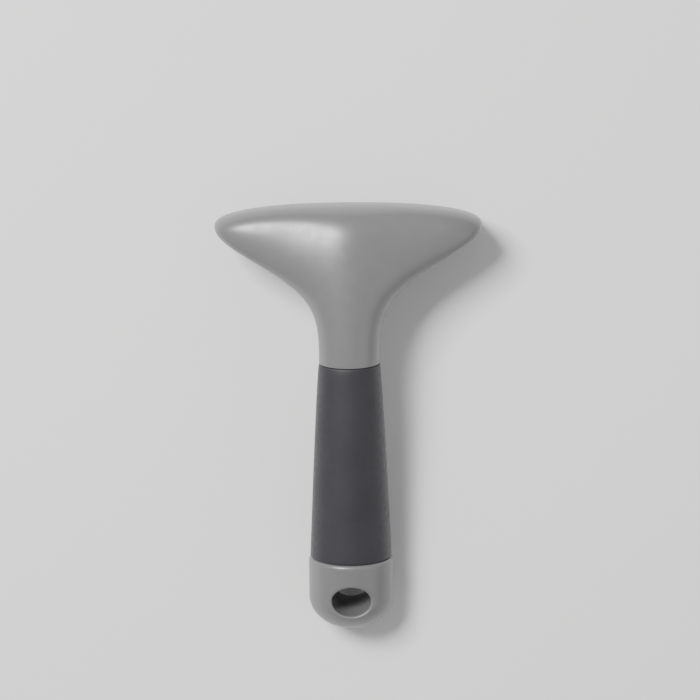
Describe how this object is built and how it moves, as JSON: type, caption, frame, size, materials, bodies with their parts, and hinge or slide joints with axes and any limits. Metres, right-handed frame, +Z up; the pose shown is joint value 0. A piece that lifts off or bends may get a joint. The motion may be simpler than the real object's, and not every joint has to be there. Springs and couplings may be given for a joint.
{
  "type": "deshedding tool",
  "caption": "Pet deshedding tool: a wide toothed steel blade in a flared grey head, a tapered handle with a soft dark grip, an end cap with a hang hole and a clear slide-off blade guard.",
  "frame": {"origin": "centre of the blade guard's flat underside, under the middle of the blade", "axes": "+Z up from the table the tool lies on, +Y out of the head's front face with the handle running to -Y, X along the blade"},
  "size_m": [0.106, 0.1714, 0.0452],
  "materials": {
    "body_plastic": "satin light grey ABS with a soft sheen",
    "grip_rubber": "smooth matte dark grey thermoplastic rubber",
    "blade_steel": "brushed stainless steel with a ground edge",
    "screw_steel": "bright zinc plate",
    "clear_plastic": "clear flexible PVC"
  },
  "bodies": {
    "tool": {"upper_shell": "body_plastic", "lower_shell": "body_plastic", "blade": "blade_steel", "head_screw_left": "screw_steel", "head_screw_middle": "screw_steel", "head_screw_right": "screw_steel", "handle_screw_front": "screw_steel", "handle_screw_rear": "screw_steel", "grip_sleeve": "grip_rubber", "end_cap": "body_plastic", "cap_screw": "screw_steel"},
    "blade_guard": {"blade_guard": "clear_plastic"}
  },
  "joints": [
    {"name": "guard_slide", "type": "slide", "parent": "tool", "child": "blade_guard", "axis": [1, 0, 0], "range_m": [0, 0.108]}
  ]
}
